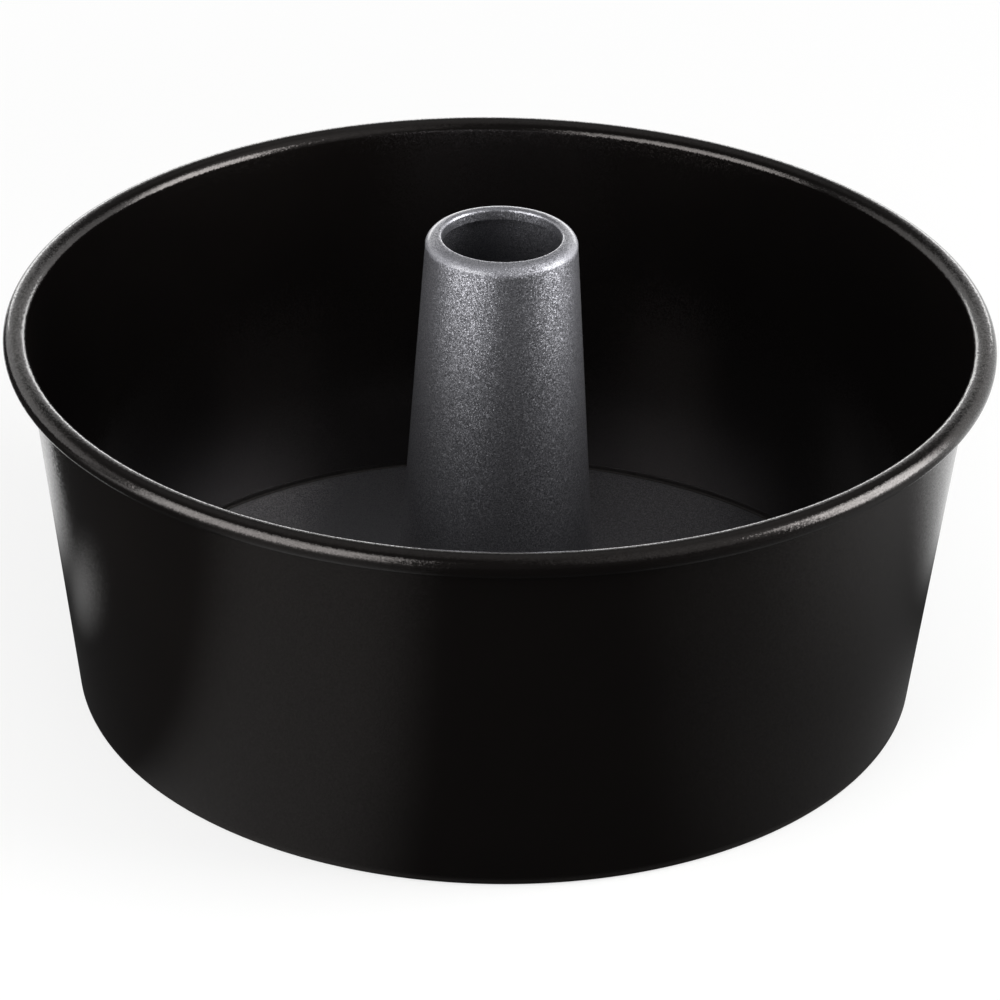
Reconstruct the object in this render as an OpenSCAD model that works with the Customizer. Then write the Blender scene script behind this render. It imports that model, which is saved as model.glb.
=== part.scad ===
// Angel food cake pan: a tapered ring with a rolled rim, and a loose insert of a
// disc and a centre tube that lifts out of it.
// Origin at the centre of the foot, on the surface that the pan stands on. +Z is up.
// Every piece is turned about Z, so each one is a section in radius and height.
// A sheet's section is a chain of bends, and the straight bands between two bends
// follow by themselves.

/* [Pan ring] */
// Outside diameter over the rolled rim
rim_d = 254; // [200:1:320]
// Height from the foot to the top of the rolled rim
pan_h = 102; // [70:1:130]
// Outside diameter of the tapered wall, carried on down to the foot
foot_d = 219.4; // [170:0.2:235]
// Thickness of the ring's sheet
ring_sheet = 0.8; // [0.5:0.1:1.2]
// Outside diameter of the roll that forms the rim
roll_d = 6.4; // [5:0.1:9]
// Gap between the roll's cut edge and the wall
roll_gap = 0.35; // [0.2:0.05:1]
// Inside radius of the bend between wall and ledge
foot_bend_r = 1; // [0.6:0.1:4]
// Width of the flat ledge inside the foot's bend
ledge_w = 9; // [5:0.5:14]

/* [Rim wire] */
// Space left between the wire and the roll around it
wire_clearance = 0.1; // [0.05:0.05:0.4]

/* [Insert disc] */
// Thickness of the disc's sheet
disc_sheet = 0.8; // [0.6:0.1:1.2]
// Gap between the disc's edge and the foot's bend
disc_clearance = 0.1; // [0.1:0.1:2]
// Height that the seat around the tube is raised above the rest of the disc
seat_rise = 1.2; // [1:0.1:2]
// Width of the raised seat outside the tube's bead
seat_w = 7; // [3:0.5:14]
// Inside radius of the two bends that raise the seat
seat_bend_r = 1; // [0.8:0.1:3]

/* [Centre tube] */
// Height from the foot of the pan to the top of the tube's lip
tube_top = 125.3; // [90:0.1:160]
// Thickness of the tube's sheet
tube_sheet = 0.7; // [0.5:0.1:0.9]
// Outside diameter of the tube's wall just under its lip
tube_d = 38.9; // [37:0.1:60]
// Lean of the tube's wall, in degrees
tube_lean = 3.75; // [0:0.05:6]
// Inside radius of the bend at the foot of the tube
tube_foot_r = 3; // [1.5:0.5:6]

/* [Tube lip] */
// Clear diameter of the mouth
mouth_d = 30.6; // [20:0.2:31]
// Slope at which the lip's rounded outer face meets the wall, in degrees from upright
lip_edge_a = 18; // [12:1:45]
// Outside radius of the lip's inner bend
lip_inner_r = 1; // [1:0.1:1.4]
// Height of the lip inside the mouth, from its top to its cut edge
mouth_depth = 3; // [2:0.1:8]
// Inside radius of the tight bend between lip and wall
edge_bend_r = 0.1; // [0.05:0.05:0.4]

/* [Clinched seam] */
// Width of the bead on the disc, outside the tube's foot bend
bead_w = 3; // [2:0.5:6]
// Width of the flange turned out under the disc
flange_w = 4; // [2:0.5:6]
// Gap left between the two layers of the bead
bead_gap = 0.1; // [0.05:0.05:0.3]
// Gap between the tube's neck and the hole in the disc
seam_clearance = 0.05; // [0.02:0.01:0.2]
// Inside radius of the two bends that wrap the edge of the hole
seam_bend_r = 0.2; // [0.1:0.05:0.25]

/* [Hidden] */
$fn = 180;

// Rounding of the arcs: most that a chord may lie inside its arc
chord_depth = 0.012;

// Rim roll, and the wire inside it
roll_r = roll_d / 2;
roll_c = [rim_d / 2 - roll_r, pan_h - roll_r];
roll_in_r = roll_r - ring_sheet;
wire_r = roll_in_r - wire_clearance;

// Wall: its outer face starts at the foot and touches the inside of the roll
foot_to_roll = roll_c - [foot_d / 2, 0];
wall_lean = atan(foot_to_roll.x / foot_to_roll.y) - asin(roll_in_r / norm(foot_to_roll));
roll_end = acos((roll_gap - roll_in_r) / roll_r);

// Foot: centre of the bend that touches the wall and the standing surface
foot_out_r = foot_bend_r + ring_sheet;
foot_c = [foot_d / 2 + foot_out_r * (tan(wall_lean) - 1 / cos(wall_lean)), foot_out_r];
ledge_in = foot_c.x - ledge_w;

// Heights of the disc and of its raised seat
disc_z = ring_sheet;
seat_z = disc_z + seat_rise;
seat_top = seat_z + disc_sheet;
disc_r = foot_c.x - disc_clearance;

// Lip of the tube: a small bend at the mouth, a wide one outside it and a tight one
// down into the wall
lip_in_c = [mouth_d / 2 + lip_inner_r, tube_top - lip_inner_r];
edge_out_r = edge_bend_r + tube_sheet;
edge_x = tube_d / 2 - edge_out_r * cos(tube_lean);
lip_outer_r = edge_out_r + (edge_x - lip_in_c.x) / cos(lip_edge_a);
lip_out_c = [lip_in_c.x, tube_top - lip_outer_r];
edge_c = lip_out_c + (lip_outer_r - edge_out_r) * [cos(lip_edge_a), sin(lip_edge_a)];

// Tube wall: straight down to the bend at its foot
wall_top = edge_c + edge_out_r * [cos(tube_lean), sin(tube_lean)];
bead_top = seat_top + 2 * tube_sheet + bead_gap;
foot_top = bead_top + tube_foot_r * (1 - sin(tube_lean));
neck_r = wall_top.x + (wall_top.y - foot_top) * tan(tube_lean);
tube_foot_c = [neck_r, foot_top] + tube_foot_r * [cos(tube_lean), sin(tube_lean)];

// Clinched seam: the sheet runs out over the disc, folds back, goes down through the
// hole and turns out again under the disc
fold_r = bead_gap / 2;
neck_c = [neck_r + seam_bend_r, seat_top - seam_bend_r];
flange_c = [neck_r + seam_bend_r, seat_z + seam_bend_r];
flange_r = neck_r + flange_w;
bead_c = [tube_foot_c.x + bead_w, seat_top + tube_sheet + fold_r];
bead_r = bead_c.x + tube_sheet + fold_r;
hole_r = neck_r + seam_clearance;

// Points on an arc round c: its two ends, and between them whole multiples of a step
// that divides a quarter turn, so that the arc's top and its widest points are exact.
// A multiple that lies closer to an end than a quarter of a step is left out.
function arc_step(r) = 90 / ceil(45 / acos(1 - chord_depth / r));
function between(from_a, to_a, step) =
    [for (k = [ceil(from_a / step + 0.25) : floor(to_a / step - 0.25)]) k * step];
function arc_angles(r, from_a, to_a) = from_a == to_a
    ? [from_a]
    : concat(from_a, between(from_a, to_a, sign(to_a - from_a) * arc_step(r)), to_a);
function arc(c, r, from_a, to_a) = [for (a = arc_angles(r, from_a, to_a)) c + r * [cos(a), sin(a)]];
function backwards(points) = [for (i = [len(points) - 1 : -1 : 0]) points[i]];

// One bend is [centre, radius of face 1, radius of face 2, first angle, last angle].
// A cut edge is a bend with two equal angles.
function face(bends, k) = [for (b = bends) each arc(b[0], b[k], b[3], b[4])];

// Section of one sheet: face 1 of the bends, round the far end, and back along face 2
module sheet_section(bends, near_end = [], far_end = []) {
    polygon(concat(near_end, face(bends, 1), far_end, backwards(face(bends, 2))));
}

// Tapered side of the pan: ledge, wall and rolled rim from one sheet
module pan_ring() {
    color("#1b1918") rotate_extrude() sheet_section(
        [
            [foot_c, foot_out_r, foot_bend_r, -90, -wall_lean],
            [roll_c, roll_in_r, roll_r, 180 - wall_lean, -wall_lean - roll_end]
        ],
        near_end = arc([ledge_in + ring_sheet / 2, ring_sheet / 2], ring_sheet / 2, 90, 270)
    );
}

// Wire hoop closed into the rolled rim
module rim_wire() {
    color("#8d8f92") rotate_extrude() translate(roll_c) circle(r = wire_r);
}

// Bottom of the insert, lying loose on the ledge, with a raised seat for the tube
module base_disc() {
    seat_out_r = seat_bend_r + disc_sheet;
    slope_a = acos(1 - seat_rise / (seat_bend_r + seat_out_r));
    seat_c = [bead_r + seat_w, seat_z - seat_bend_r];
    slope_c = seat_c + (seat_bend_r + seat_out_r) * [sin(slope_a), cos(slope_a)];
    edge_r = disc_sheet / 2;
    color("#45474a") rotate_extrude() sheet_section(
        [
            [seat_c, seat_out_r, seat_bend_r, 90, 90 - slope_a],
            [slope_c, seat_bend_r, seat_out_r, 270 - slope_a, 270]
        ],
        near_end = arc([hole_r + edge_r, seat_z + edge_r], edge_r, 270, 90),
        far_end = arc([disc_r - edge_r, disc_z + edge_r], edge_r, 90, -90)
    );
}

// Centre tube from one sheet: lip, tapered wall, bead, neck and flange
module centre_tube() {
    color("#8a8c90") rotate_extrude() sheet_section([
        [[lip_in_c.x, tube_top - mouth_depth], lip_inner_r, lip_inner_r - tube_sheet, 180, 180],
        [lip_in_c, lip_inner_r, lip_inner_r - tube_sheet, 180, 90],
        [lip_out_c, lip_outer_r, lip_outer_r - tube_sheet, 90, lip_edge_a],
        [edge_c, edge_out_r, edge_bend_r, lip_edge_a, tube_lean],
        [tube_foot_c, tube_foot_r, tube_foot_r + tube_sheet, 180 + tube_lean, 270],
        [bead_c, tube_sheet + fold_r, fold_r, 90, -90],
        [neck_c, seam_bend_r, seam_bend_r + tube_sheet, 90, 180],
        [flange_c, seam_bend_r, seam_bend_r + tube_sheet, 180, 270],
        [[flange_r, flange_c.y], seam_bend_r, seam_bend_r + tube_sheet, 270, 270]
    ]);
}

pan_ring();
rim_wire();
base_disc();
centre_tube();
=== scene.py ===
import math

import bpy
import numpy as np
from mathutils import Matrix, Vector


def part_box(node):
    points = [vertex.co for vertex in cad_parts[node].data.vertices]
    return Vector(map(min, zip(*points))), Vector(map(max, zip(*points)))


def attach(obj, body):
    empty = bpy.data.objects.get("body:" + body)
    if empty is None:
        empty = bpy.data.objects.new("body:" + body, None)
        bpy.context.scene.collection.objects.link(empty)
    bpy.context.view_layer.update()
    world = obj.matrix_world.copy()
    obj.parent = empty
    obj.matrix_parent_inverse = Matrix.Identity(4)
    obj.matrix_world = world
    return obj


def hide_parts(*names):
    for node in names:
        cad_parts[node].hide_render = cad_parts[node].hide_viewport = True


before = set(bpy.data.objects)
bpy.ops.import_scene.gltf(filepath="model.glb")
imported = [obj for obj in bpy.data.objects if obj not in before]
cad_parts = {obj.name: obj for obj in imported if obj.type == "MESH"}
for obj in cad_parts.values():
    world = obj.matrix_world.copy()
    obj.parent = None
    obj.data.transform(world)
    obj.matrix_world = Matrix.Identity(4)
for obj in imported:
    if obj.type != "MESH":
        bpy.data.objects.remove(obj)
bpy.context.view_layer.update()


# The pan ring. One blank of 0.8 mm steel sheet is drawn to a tapered wall, its foot is
# turned in as a ledge and its rim is rolled outwards round a wire. All of it has a baked
# black non-stick coating.

MM = 0.001
rim_r, _, pan_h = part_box("pan_ring")[1]
ring_sheet = 0.8 * MM
roll_r = 3.2 * MM
roll_gap = 0.35 * MM
foot_r = 109.7 * MM
foot_bend_r = 1.0 * MM
ledge_w = 9.0 * MM
ring_turns = 480
ring_band = 4 * MM
cut_edge_step = 15.0
no_points = np.zeros((0, 2))


def arc(centre, radius, first, last, step=6.0):
    """Points centre + radius * (cos a, sin a), where a runs from first to last, in degrees, in
    equal steps no larger than step."""
    count = max(2, math.ceil(abs(last - first) / step) + 1)
    a = np.radians(np.linspace(first, last, count))
    return np.asarray(centre) + radius * np.stack([np.cos(a), np.sin(a)], axis=1)


def section(bends, start, end):
    """Closed outline of a sheet in radius and height, counter-clockwise: face 1 of its bends in
    order, the end points, face 2 in reverse, the start points. Straight bands lie between the
    bends. A bend is (centre, radius of face 1, radius of face 2, first angle, last angle)."""
    face_1 = [arc(c, r1, a, b) for c, r1, r2, a, b in bends]
    face_2 = [arc(c, r2, a, b)[::-1] for c, r1, r2, a, b in bends[::-1]]
    points = np.concatenate([*face_1, end, *face_2, start])
    following = np.roll(points, -1, axis=0)
    twice_area = np.sum(points[:, 0] * following[:, 1] - following[:, 0] * points[:, 1])
    return points if twice_area > 0 else points[::-1]


def fill_bands(points, longest, same_point=1e-9):
    """The closed outline without repeated points, each of its edges cut into equal parts that
    are no longer than longest."""
    following = np.roll(points, -1, axis=0)
    length = np.linalg.norm(following - points, axis=1)
    keep = length > same_point
    points, following, length = points[keep], following[keep], length[keep]
    parts = np.maximum(1, np.ceil(length / longest)).astype(int)
    row = np.repeat(np.arange(len(points)), parts)
    share = (np.arange(len(row)) - np.repeat(np.cumsum(parts) - parts, parts)) / parts[row]
    return points[row] + share[:, None] * (following - points)[row]


def turned(name, outline, turns, sharpest=40.0):
    """Surface of revolution: outline point (r, z) at turn angle a stands at (r cos a, r sin a, z).
    The outline runs counter-clockwise, so the faces point out of the sheet. It is shaded smooth
    up to the sharpest bend, in degrees."""
    a = np.arange(turns) * 2 * np.pi / turns
    r, z = outline[:, 0, None], outline[:, 1, None]
    points = np.stack([r * np.cos(a), r * np.sin(a), z + 0 * a], axis=2).reshape(-1, 3)
    here = np.arange(len(outline) * turns).reshape(len(outline), turns)
    beside = np.roll(here, -1, axis=1)
    faces = np.stack([here, beside, np.roll(beside, -1, axis=0), np.roll(here, -1, axis=0)], axis=2)
    mesh = bpy.data.meshes.new(name)
    mesh.vertices.add(len(points))
    mesh.vertices.foreach_set("co", points.astype(np.float32).ravel())
    mesh.loops.add(faces.size)
    mesh.loops.foreach_set("vertex_index", faces.astype(np.int32).ravel())
    mesh.polygons.add(faces.size // 4)
    mesh.polygons.foreach_set("loop_start", np.arange(0, faces.size, 4, dtype=np.int32))
    mesh.update(calc_edges=True)
    mesh.shade_smooth()
    mesh.set_sharp_from_angle(angle=math.radians(sharpest))
    piece = bpy.data.objects.new(name, mesh)
    bpy.context.scene.collection.objects.link(piece)
    return piece


def linear(hex_colour):
    """An sRGB hex colour such as 1a1816 as linear red, green, blue and alpha."""
    share = np.array([int(hex_colour[k:k + 2], 16) for k in (0, 2, 4)]) / 255
    low, high = share / 12.92, ((share + 0.055) / 1.055) ** 2.4
    return (*np.where(share <= 0.04045, low, high), 1.0)


def node(tree, kind, links=(), fixed=(), **settings):
    """Adds a node. Settings name its properties or inputs, fixed are (input, value) for inputs
    known by their number, and links are (input, socket to read)."""
    made = tree.nodes.new(kind)
    for name, value in settings.items():
        if hasattr(made, name):
            setattr(made, name, value)
        else:
            made.inputs[name.replace("_", " ")].default_value = value
    for name, value in fixed:
        made.inputs[name].default_value = value
    for name, source in links:
        tree.links.new(source, made.inputs[name])
    return made


def material(name):
    """A new node material: returns it, its tree, its surface shader and the Object coordinates."""
    made = bpy.data.materials.new(name)
    made.use_nodes = True
    tree = made.node_tree
    tree.nodes.clear()
    shader = node(tree, "ShaderNodeBsdfPrincipled")
    node(tree, "ShaderNodeOutputMaterial", [("Surface", shader.outputs["BSDF"])])
    place = node(tree, "ShaderNodeTexCoord").outputs["Object"]
    return made, tree, shader, place


def flake_normal(tree, place, flake_mm, lean, share):
    """Normals for a coat of flakes or droplets: each cell of a Voronoi pattern leans its own
    way, by up to lean times the socket share. Returns the normal and the node of the cells."""
    cells = node(tree, "ShaderNodeTexVoronoi", [("Vector", place)], Scale=1000 / flake_mm)
    tilt = node(tree, "ShaderNodeVectorMath", [(0, cells.outputs["Color"])],
                [(1, (2 * lean,) * 3), (2, (-lean,) * 3)], operation="MULTIPLY_ADD")
    tilt = node(tree, "ShaderNodeVectorMath", [(0, tilt.outputs[0]), ("Scale", share)],
                operation="SCALE")
    surface = node(tree, "ShaderNodeNewGeometry")
    leant = node(tree, "ShaderNodeVectorMath",
                 [(0, surface.outputs["Normal"]), (1, tilt.outputs[0])], operation="ADD")
    normal = node(tree, "ShaderNodeVectorMath", [(0, leant.outputs[0])], operation="NORMALIZE")
    return normal.outputs[0], cells


# Baked PTFE non-stick on steel: it is sprayed, so it dries in fine droplets that sparkle
# where a light catches them, over a slow unevenness in its gloss. The droplets lean twice
# as much on the rim, which was rolled, as on the wall, and the tight fold at the foot is
# dull. Real droplets are near 0.1 mm, too fine to show, so they are drawn at 0.28 mm.
black_coating, tree, shader, place = material("black_ptfe_nonstick")
droplet_mm = 0.28
droplet_lean = 0.050
wall_lean_share = 0.5
rolled_from, rolled_to = pan_h - 2.6 * roll_r, pan_h - 1.8 * roll_r
cloud_mm = 45.0
gloss_low, gloss_high = 0.12, 0.16
fold_dullness = 0.5
fold_from, fold_to = 1.5 * foot_bend_r, 3.0 * foot_bend_r
cloud = node(tree, "ShaderNodeTexNoise", [("Vector", place)], Scale=1000 / cloud_mm, Detail=3.0)
colour = node(tree, "ShaderNodeMix", [("Factor", cloud.outputs["Fac"])], data_type="RGBA",
              A=linear("070606"), B=linear("0d0b0a"))
gloss = node(tree, "ShaderNodeMapRange", [("Value", cloud.outputs["Fac"])],
             To_Min=gloss_low, To_Max=gloss_high)
height = node(tree, "ShaderNodeSeparateXYZ", [("Vector", place)]).outputs["Z"]
fold = node(tree, "ShaderNodeMapRange", [("Value", height)], From_Min=fold_from, From_Max=fold_to,
            To_Min=fold_dullness, To_Max=0.0)
gloss = node(tree, "ShaderNodeMath", [(0, gloss.outputs["Result"]), (1, fold.outputs["Result"])],
             operation="ADD")
rolled = node(tree, "ShaderNodeMapRange", [("Value", height)],
              From_Min=rolled_from, From_Max=rolled_to, To_Min=wall_lean_share)
droplets, cells = flake_normal(tree, place, droplet_mm, droplet_lean, rolled.outputs["Result"])
sparkle = node(tree, "ShaderNodeMix", [("Factor", cells.outputs["Color"])], data_type="RGBA",
               A=linear("c2bcb9"), B=linear("fff7f4"))
tree.links.new(sparkle.outputs["Result"], shader.inputs["Specular Tint"])
tree.links.new(colour.outputs["Result"], shader.inputs["Base Color"])
tree.links.new(gloss.outputs[0], shader.inputs["Roughness"])
tree.links.new(droplets, shader.inputs["Normal"])
shader.inputs["IOR"].default_value = 1.5
shader.inputs["Specular IOR Level"].default_value = 0.62

roll_c = np.array([rim_r - roll_r, pan_h - roll_r])
roll_in_r = roll_r - ring_sheet
rise = roll_c - [foot_r, 0]
wall_lean = math.degrees(math.atan(rise[0] / rise[1]) - math.asin(roll_in_r / math.hypot(*rise)))
roll_end = math.degrees(math.acos((roll_gap - roll_in_r) / roll_r))
foot_out_r = foot_bend_r + ring_sheet
lean = math.radians(wall_lean)
foot_c = np.array([foot_r + foot_out_r * (math.tan(lean) - 1 / math.cos(lean)), foot_out_r])
cut_r = ring_sheet / 2
ring_outline = section(
    [
        (foot_c, foot_out_r, foot_bend_r, -90, -wall_lean),
        (roll_c, roll_in_r, roll_r, 180 - wall_lean, -wall_lean - roll_end),
    ],
    start=arc([foot_c[0] - ledge_w + cut_r, cut_r], cut_r, 90, 270, cut_edge_step),
    end=no_points,
)
ring = turned("ring_shell", fill_bands(ring_outline, ring_band), ring_turns)
ring.data.materials.append(black_coating)
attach(ring, "ring")
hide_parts("pan_ring")


# The rim wire. A hoop of drawn steel wire, plated with zinc, that the rim is rolled
# round. It is closed in, so only its CAD node stands for it.

# Zinc plating over drawn wire: a pale grey metal with fine uneven streaks in its gloss.
zinc_wire, tree, shader, place = material("zinc_plated_wire")
streak_mm = 0.8
gloss_low, gloss_high = 0.30, 0.45
pull = node(tree, "ShaderNodeTexNoise", [("Vector", place)], Scale=1000 / streak_mm, Detail=2.0)
gloss = node(tree, "ShaderNodeMapRange", [("Value", pull.outputs["Fac"])],
             To_Min=gloss_low, To_Max=gloss_high)
shader.inputs["Base Color"].default_value = linear("8f9295")
shader.inputs["Metallic"].default_value = 1.0
tree.links.new(gloss.outputs["Result"], shader.inputs["Roughness"])
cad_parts["rim_wire"].data.materials.clear()
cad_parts["rim_wire"].data.materials.append(zinc_wire)


# The insert's disc. A flat steel disc with a low seat pressed up round its hole. It
# lies loose on the ring's ledge and has a grey metallic non-stick coating.

disc_low, disc_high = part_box("base_disc")
disc_sheet = 0.8 * MM
seat_rise = 1.2 * MM
seat_w = 7.0 * MM
seat_bend_r = 1.0 * MM
insert_turns = 360
disc_band = 4 * MM

# The tube's section is set out here, because the disc's hole and seat follow its foot.
tube_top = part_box("centre_tube")[1].z
tube_sheet = 0.7 * MM
tube_r = 19.45 * MM
tube_lean = 3.75
tube_foot_r = 3.0 * MM
mouth_r = 15.3 * MM
lip_edge = 18.0
lip_inner_r = 1.0 * MM
mouth_depth = 3.0 * MM
edge_bend_r = 0.1 * MM
bead_w = 3.0 * MM
flange_w = 4.0 * MM
bead_gap = 0.1 * MM
seam_clearance = 0.05 * MM
seam_bend_r = 0.2 * MM


def turn_of(angle):
    """The unit vector at an angle in degrees, in radius and height."""
    return np.array([math.cos(math.radians(angle)), math.sin(math.radians(angle))])


seat_z = disc_low.z + seat_rise
seat_top = seat_z + disc_sheet
lip_in_c = np.array([mouth_r + lip_inner_r, tube_top - lip_inner_r])
edge_out_r = edge_bend_r + tube_sheet
edge_x = tube_r - edge_out_r * turn_of(tube_lean)[0]
lip_outer_r = edge_out_r + (edge_x - lip_in_c[0]) / turn_of(lip_edge)[0]
lip_out_c = np.array([lip_in_c[0], tube_top - lip_outer_r])
edge_c = lip_out_c + (lip_outer_r - edge_out_r) * turn_of(lip_edge)
wall_top = edge_c + edge_out_r * turn_of(tube_lean)
bead_top = seat_top + 2 * tube_sheet + bead_gap
foot_top = bead_top + tube_foot_r * (1 - turn_of(tube_lean)[1])
neck_r = wall_top[0] + (wall_top[1] - foot_top) * math.tan(math.radians(tube_lean))
tube_foot_c = np.array([neck_r, foot_top]) + tube_foot_r * turn_of(tube_lean)
fold_r = bead_gap / 2
bead_c = np.array([tube_foot_c[0] + bead_w, seat_top + tube_sheet + fold_r])

edge_r = disc_sheet / 2
slope = math.degrees(math.acos(1 - seat_rise / (2 * seat_bend_r + disc_sheet)))
seat_c = np.array([bead_c[0] + tube_sheet + fold_r + seat_w, seat_z - seat_bend_r])
slope_c = seat_c + (2 * seat_bend_r + disc_sheet) * turn_of(90 - slope)
hole_r = neck_r + seam_clearance
disc_outline = section(
    [
        (seat_c, seat_bend_r + disc_sheet, seat_bend_r, 90, 90 - slope),
        (slope_c, seat_bend_r, seat_bend_r + disc_sheet, 270 - slope, 270),
    ],
    start=arc([hole_r + edge_r, seat_z + edge_r], edge_r, 270, 90, cut_edge_step),
    end=arc([disc_high.x - edge_r, disc_low.z + edge_r], edge_r, 90, -90, cut_edge_step),
)

# Grey metallic non-stick: a clear sprayed binder with aluminium flakes, which lie at small
# random tilts, so that each flake in the light is a bright point under a soft clear gloss.
# On the outer face of the tube's lip the flakes lie less flat and the coat is duller. Real
# flakes are near 0.05 mm, too fine to show, so they are drawn at 0.22 mm.
grey_coating, tree, shader, place = material("grey_metallic_nonstick")
flake_mm = 0.22
flake_lean = 0.15
cloud_mm = 30.0
gloss_low, gloss_high = 0.39, 0.43
lip_lean_share = 1.8
lip_dullness = 0.20
lip_from, lip_to = tube_top - 3.4 * MM, tube_top - 2.4 * MM
face_from, face_to = mouth_r + 0.2 * MM, mouth_r + 1.0 * MM
smooth = {"interpolation_type": "SMOOTHSTEP"}
height = node(tree, "ShaderNodeSeparateXYZ", [("Vector", place)]).outputs["Z"]
high = node(tree, "ShaderNodeMapRange", [("Value", height)],
            From_Min=lip_from, From_Max=lip_to, **smooth)
flat = node(tree, "ShaderNodeVectorMath", [(0, place)], [(1, (1.0, 1.0, 0.0))],
            operation="MULTIPLY")
from_axis = node(tree, "ShaderNodeVectorMath", [(0, flat.outputs[0])], operation="LENGTH")
outer = node(tree, "ShaderNodeMapRange", [("Value", from_axis.outputs["Value"])],
             From_Min=face_from, From_Max=face_to, **smooth)
lip = node(tree, "ShaderNodeMath", [(0, high.outputs["Result"]), (1, outer.outputs["Result"])],
           operation="MULTIPLY").outputs[0]
leaning = node(tree, "ShaderNodeMapRange", [("Value", lip)], To_Min=1.0, To_Max=lip_lean_share)
flakes, cells = flake_normal(tree, place, flake_mm, flake_lean, leaning.outputs["Result"])
tone = node(tree, "ShaderNodeMix", [("Factor", cells.outputs["Color"])], data_type="RGBA",
            A=linear("6e6e73"), B=linear("b5b5bb"))
cloud = node(tree, "ShaderNodeTexNoise", [("Vector", place)], Scale=1000 / cloud_mm, Detail=3.0)
gloss = node(tree, "ShaderNodeMapRange", [("Value", cloud.outputs["Fac"])],
             To_Min=gloss_low, To_Max=gloss_high)
dulled = node(tree, "ShaderNodeMapRange", [("Value", lip)], To_Max=lip_dullness)
gloss = node(tree, "ShaderNodeMath", [(0, gloss.outputs["Result"]), (1, dulled.outputs["Result"])],
             operation="ADD")
tree.links.new(tone.outputs["Result"], shader.inputs["Base Color"])
tree.links.new(gloss.outputs[0], shader.inputs["Roughness"])
tree.links.new(flakes, shader.inputs["Normal"])
shader.inputs["Metallic"].default_value = 0.93
shader.inputs["Coat Weight"].default_value = 0.7
shader.inputs["Coat Roughness"].default_value = 0.15
shader.inputs["Coat IOR"].default_value = 1.5

disc = turned("insert_disc", fill_bands(disc_outline, disc_band), insert_turns)
disc.data.materials.append(grey_coating)
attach(disc, "insert")
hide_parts("base_disc")


# The centre tube. It is spun from one steel sheet: a lip rolled in at the top, a straight
# tapered wall, and a foot that runs out over the disc, folds back and is clinched through
# the disc's hole. It has the disc's grey coating.

tube_band = 5 * MM
seam_out_r = seam_bend_r + tube_sheet
tube_outline = section(
    [
        ((lip_in_c[0], tube_top - mouth_depth), lip_inner_r, lip_inner_r - tube_sheet, 180, 180),
        (lip_in_c, lip_inner_r, lip_inner_r - tube_sheet, 180, 90),
        (lip_out_c, lip_outer_r, lip_outer_r - tube_sheet, 90, lip_edge),
        (edge_c, edge_out_r, edge_bend_r, lip_edge, tube_lean),
        (tube_foot_c, tube_foot_r, tube_foot_r + tube_sheet, 180 + tube_lean, 270),
        (bead_c, tube_sheet + fold_r, fold_r, 90, -90),
        ((neck_r + seam_bend_r, seat_top - seam_bend_r), seam_bend_r, seam_out_r, 90, 180),
        ((neck_r + seam_bend_r, seat_z + seam_bend_r), seam_bend_r, seam_out_r, 180, 270),
        ((neck_r + flange_w, seat_z + seam_bend_r), seam_bend_r, seam_out_r, 270, 270),
    ],
    start=no_points,
    end=no_points,
)
tube = turned("insert_tube", fill_bands(tube_outline, tube_band), insert_turns)
tube.data.materials.append(grey_coating)
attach(tube, "insert")
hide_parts("centre_tube")


# The floor. A wide plain pale sheet that isn't part of the object. The camera sees it
# near white, with the pan's soft shadow. Rays from the object don't see its paint but
# painted light that the floor gives off: a painted white sweep behind the pan, dim at
# its sides and in front of it, and a painted shadow close round its foot.

floor_half = 4.0
floor_mesh = bpy.data.meshes.new("floor")
corners = [(-floor_half, -floor_half, 0), (floor_half, -floor_half, 0),
           (floor_half, floor_half, 0), (-floor_half, floor_half, 0)]
floor_mesh.from_pydata(corners, [], [(0, 1, 2, 3)])
floor = bpy.data.objects.new("floor", floor_mesh)
bpy.context.scene.collection.objects.link(floor)

# White matt paint, so even that nothing on it draws the eye.
floor_paint, tree, shader, place = material("pale_floor")
shader.inputs["Base Color"].default_value = linear("f8f8f7")
shader.inputs["Roughness"].default_value = 0.9
shader.inputs["Specular IOR Level"].default_value = 0.2

# The painted white starts outside a painted shadow round the pan's foot and past two
# lines on the floor, one on the pan's left and one across behind its axis. A line is its
# normal, with the distances along it where dim ends and white begins.
painted_shadow_from, painted_shadow_to = 0.125, 0.160
white_lines = (
    ((0.926, 0.379, 0.0), -0.145, -0.133),
    ((0.0, 1.0, 0.0), 0.010, 0.100),
)
from_axis = node(tree, "ShaderNodeVectorMath", [(0, place)], operation="LENGTH").outputs["Value"]
white_part = node(tree, "ShaderNodeMapRange", [("Value", from_axis)],
                  From_Min=painted_shadow_from, From_Max=painted_shadow_to, **smooth)
for normal, dim_at, white_at in white_lines:
    along = node(tree, "ShaderNodeVectorMath", [(0, place)], [(1, normal)], operation="DOT_PRODUCT")
    share = node(tree, "ShaderNodeMapRange", [("Value", along.outputs["Value"])],
                 From_Min=dim_at, From_Max=white_at, **smooth)
    white_part = node(tree, "ShaderNodeMath",
                      [(0, white_part.outputs[0]), (1, share.outputs["Result"])],
                      operation="MULTIPLY")
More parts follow.
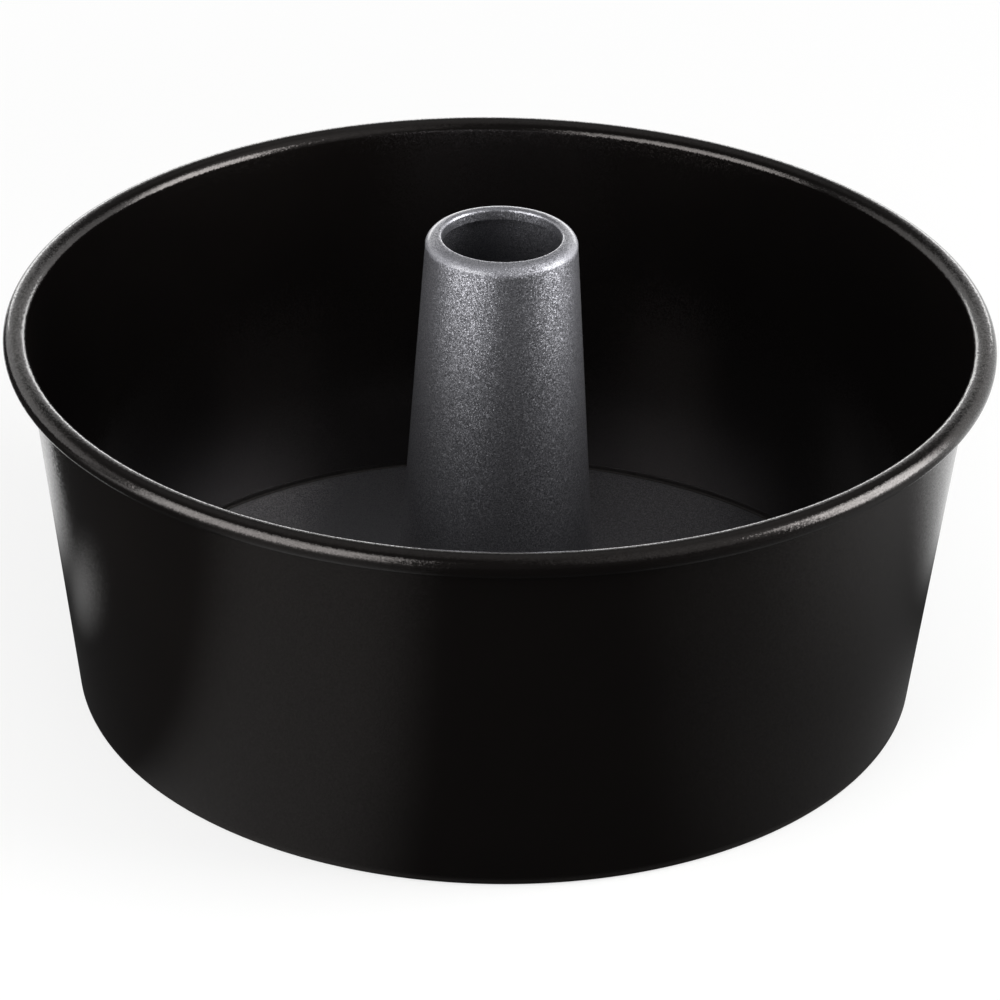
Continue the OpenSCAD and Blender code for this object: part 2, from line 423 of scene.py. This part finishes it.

# The dim part has a few faint painted pools of light, each a sector round the pan: the
# azimuth of its middle from the camera's side to the right, how far it reaches to each
# side, how much of that is full, its strength, and the radii between which it grows
# outwards, if it does.
dim_strength = 0.03
near_rise, far_rise = (0.13, 0.24), (0.25, 0.80)
glows = (
    (-34, 26, 0, 0.23, None),
    (62, 40, 0, 0.085, None),
    (95, 50, 10, 0.19, near_rise),
    (-55, 45, 20, 1.5, far_rise),
    (100, 32, 12, 1.5, far_rise),
)
outward = node(tree, "ShaderNodeVectorMath", [(0, place)], operation="NORMALIZE")
so_far = []
for azimuth, reach, full, strength, rise in glows:
    middle = (math.sin(math.radians(azimuth)), -math.cos(math.radians(azimuth)), 0.0)
    toward = node(tree, "ShaderNodeVectorMath", [(0, outward.outputs[0])], [(1, middle)],
                  operation="DOT_PRODUCT")
    glow = node(tree, "ShaderNodeMapRange", [("Value", toward.outputs["Value"])],
                From_Min=math.cos(math.radians(reach)), From_Max=math.cos(math.radians(full)),
                To_Max=strength, **smooth)
    scaled = []
    if rise:
        grown = node(tree, "ShaderNodeMapRange", [("Value", from_axis)],
                     From_Min=rise[0], From_Max=rise[1], **smooth)
        scaled = [(1, grown.outputs["Result"])]
    dim = node(tree, "ShaderNodeMath", [(0, glow.outputs["Result"]), *scaled, *so_far],
               [(1, 1.0), (2, dim_strength)], operation="MULTIPLY_ADD")
    so_far = [(2, dim.outputs[0])]

# A small round painted glint on the floor by the pan's left side shows low in its wall.
glint_at, glint_r, glint_strength = (-0.152, 0.006, 0.0), 0.030, 0.32
from_glint = node(tree, "ShaderNodeVectorMath", [(0, place)], [(1, glint_at)], operation="DISTANCE")
glint = node(tree, "ShaderNodeMapRange", [("Value", from_glint.outputs["Value"])],
             From_Max=glint_r, To_Min=glint_strength, To_Max=0.0, **smooth)
dim = node(tree, "ShaderNodeMath", [(0, dim.outputs[0]), (1, glint.outputs["Result"])],
           operation="ADD")
lit = node(tree, "ShaderNodeMapRange",
           [("Value", white_part.outputs[0]), ("To Min", dim.outputs[0])], To_Max=1.0)
# The painted light that the floor gives off to the object's rays in place of its paint.
painted_floor_light = node(tree, "ShaderNodeEmission", [("Strength", lit.outputs["Result"])])

# To the camera the paint is mixed with plain white, more of it further out, so that the
# shadow stays by the pan and the floor runs into a white background.
camera_white_near, camera_white_far = 0.65, 0.97
camera_near_r, camera_far_r = 0.12, 0.60
path = node(tree, "ShaderNodeLightPath")
from_object = node(tree, "ShaderNodeMath",
                   [(0, path.outputs["Is Glossy Ray"]), (1, path.outputs["Is Diffuse Ray"])],
                   operation="MAXIMUM")
white = node(tree, "ShaderNodeEmission", Strength=1.0)
paler = node(tree, "ShaderNodeMapRange", [("Value", from_axis)],
             From_Min=camera_near_r, From_Max=camera_far_r,
             To_Min=camera_white_near, To_Max=camera_white_far, **smooth)
to_camera = node(tree, "ShaderNodeMath",
                 [(0, path.outputs["Is Camera Ray"]), (1, paler.outputs["Result"])],
                 operation="MULTIPLY")
pale = node(tree, "ShaderNodeMixShader", [
    (0, to_camera.outputs[0]), (1, shader.outputs["BSDF"]), (2, white.outputs["Emission"])])
seen = node(tree, "ShaderNodeMixShader", [
    (0, from_object.outputs[0]), (1, pale.outputs["Shader"]), (2, painted_floor_light.outputs["Emission"])])
tree.links.new(seen.outputs["Shader"], tree.nodes["Material Output"].inputs["Surface"])
floor_paint.cycles.emission_sampling = "NONE"
floor.data.materials.append(floor_paint)


# The backdrop. It is the world: white to the camera and an even pale light to matt
# surfaces. Glossy ones see it white behind the pan, fading out between 22 and 38 degrees
# up, and elsewhere a dim studio with two soft wide patches, overhead and front right.

# Behind is told by the y of a direction, which is 1 straight away from the camera's side.
# A patch is a direction and a strength, and it ends where the cosine of the angle to its
# direction is patch_edge.
low_from, low_to = 22.0, 38.0
behind_from, behind_to = -0.1, 0.3
studio_strength = 0.07
patch_edge = 0.75
patches = (((0.0, 0.25, 0.97), 0.29), ((0.663, -0.383, 0.643), 0.50))
matt_strength = 0.45
world = bpy.data.worlds.new("backdrop")
bpy.context.scene.world = world
world.use_nodes = True
world.cycles.sampling_method = "NONE"
tree = world.node_tree
tree.nodes.clear()
path = node(tree, "ShaderNodeLightPath")
direction = node(tree, "ShaderNodeTexCoord").outputs["Generated"]
part = node(tree, "ShaderNodeSeparateXYZ", [("Vector", direction)])
low = node(tree, "ShaderNodeMapRange", [("Value", part.outputs["Z"])],
           From_Min=math.sin(math.radians(low_from)), From_Max=math.sin(math.radians(low_to)),
           To_Min=1.0, To_Max=0.0, **smooth)
behind = node(tree, "ShaderNodeMapRange", [("Value", part.outputs["Y"])],
              From_Min=behind_from, From_Max=behind_to, **smooth)
both = node(tree, "ShaderNodeMath", [(0, low.outputs["Result"]), (1, behind.outputs["Result"])],
            operation="MULTIPLY")
so_far = []
for way, patch_strength in patches:
    toward = node(tree, "ShaderNodeVectorMath", [(0, direction)], [(1, way)],
                  operation="DOT_PRODUCT")
    glow = node(tree, "ShaderNodeMapRange", [("Value", toward.outputs["Value"])],
                From_Min=patch_edge, To_Max=patch_strength, **smooth)
    studio = node(tree, "ShaderNodeMath", [(0, glow.outputs["Result"]), *so_far],
                  [(1, studio_strength)], operation="ADD")
    so_far = [(1, studio.outputs[0])]
sweep = node(tree, "ShaderNodeMix", [("Factor", both.outputs[0]), ("A", studio.outputs[0])], B=1.0)
mirrored = node(tree, "ShaderNodeMath",
                [(0, path.outputs["Is Glossy Ray"]), (1, path.outputs["Is Transmission Ray"])],
                operation="MAXIMUM")
strength = node(tree, "ShaderNodeMix",
                [("Factor", mirrored.outputs[0]), ("B", sweep.outputs["Result"])],
                A=matt_strength)
strength = node(tree, "ShaderNodeMix",
                [("Factor", path.outputs["Is Camera Ray"]), ("A", strength.outputs["Result"])],
                B=1.0)
sky = node(tree, "ShaderNodeBackground", [("Strength", strength.outputs["Result"])],
           Color=(1.0, 1.0, 1.0, 1.0))
node(tree, "ShaderNodeOutputWorld", [("Surface", sky.outputs["Background"])])


# The lamps. One soft box stands at the front left and one on the right, each with a
# smaller one before it that makes its middle brighter. A low wide one stands behind.

lamp_aim_z = 0.05
soft_boxes = (
    # name, azimuth, elevation, distance, width, height, radiance
    ("left_box", -50, 19.5, 0.78, 0.92, 0.62, 2.55),
    ("left_box_middle", -50, 18.5, 0.76, 0.70, 0.42, 3.0),
    ("right_box", 85, 19.5, 0.78, 0.60, 0.62, 4.5),
    ("right_box_middle", 85, 18.5, 0.76, 0.40, 0.42, 5.5),
    ("back_box", 180, 7, 1.4, 1.7, 0.30, 3.0),
)
# A box faces the pan. Its azimuth is 0 on the camera's side and 90 on the right.
for name, azimuth, elevation, distance, width, tall, radiance in soft_boxes:
    lamp = bpy.data.lights.new(name, "AREA")
    lamp.shape = "RECTANGLE"
    lamp.size, lamp.size_y, lamp.energy = width, tall, radiance * math.pi * width * tall
    box = bpy.data.objects.new(name, lamp)
    a, e = math.radians(azimuth), math.radians(elevation)
    toward = Vector((math.sin(a) * math.cos(e), -math.cos(a) * math.cos(e), math.sin(e)))
    box.location = toward * distance + Vector((0, 0, lamp_aim_z))
    box.rotation_euler = toward.to_track_quat("Z", "Y").to_euler()
    bpy.context.scene.collection.objects.link(box)


# The camera stands where the photograph was taken from: 1.28 m from the foot's centre and
# 30.6 degrees up, with a long lens. It is turned by small angles from looking at that
# centre. They and the focal length in pixels were fitted to the photograph's outlines.

camera_distance = 1.2835
camera_elevation = 30.614
camera_pan = -0.034
camera_pitch = 1.898
camera_roll = -1.025
focal_px = 4817.6
frame_px = 1000.0
sensor_mm = 36.0
near_clip, far_clip = 0.1, 20

e = math.radians(camera_elevation)
ahead = Vector((0, math.cos(e), -math.sin(e)))
side = Vector((1, 0, 0))
above = side.cross(ahead)


def swing(axis, degrees, *vectors):
    """The vectors turned about the axis by the right-hand rule."""
    turn = Matrix.Rotation(math.radians(degrees), 3, axis)
    return [turn @ v for v in vectors]


ahead, side = swing(above, camera_pan, ahead, side)
ahead, above = swing(side, camera_pitch, ahead, above)
side, above = swing(ahead, camera_roll, side, above)
lens = bpy.data.cameras.new("camera")
lens.sensor_width = sensor_mm
lens.lens = focal_px / frame_px * sensor_mm
lens.clip_start, lens.clip_end = near_clip, far_clip
camera = bpy.data.objects.new("camera", lens)
from_foot = Vector((0, -math.cos(e), math.sin(e))) * camera_distance
facing = Matrix((side, above, -ahead)).transposed().to_4x4()
camera.matrix_world = Matrix.Translation(from_foot) @ facing
bpy.context.scene.collection.objects.link(camera)
bpy.context.scene.camera = camera
bpy.context.scene.view_settings.view_transform = "Standard"
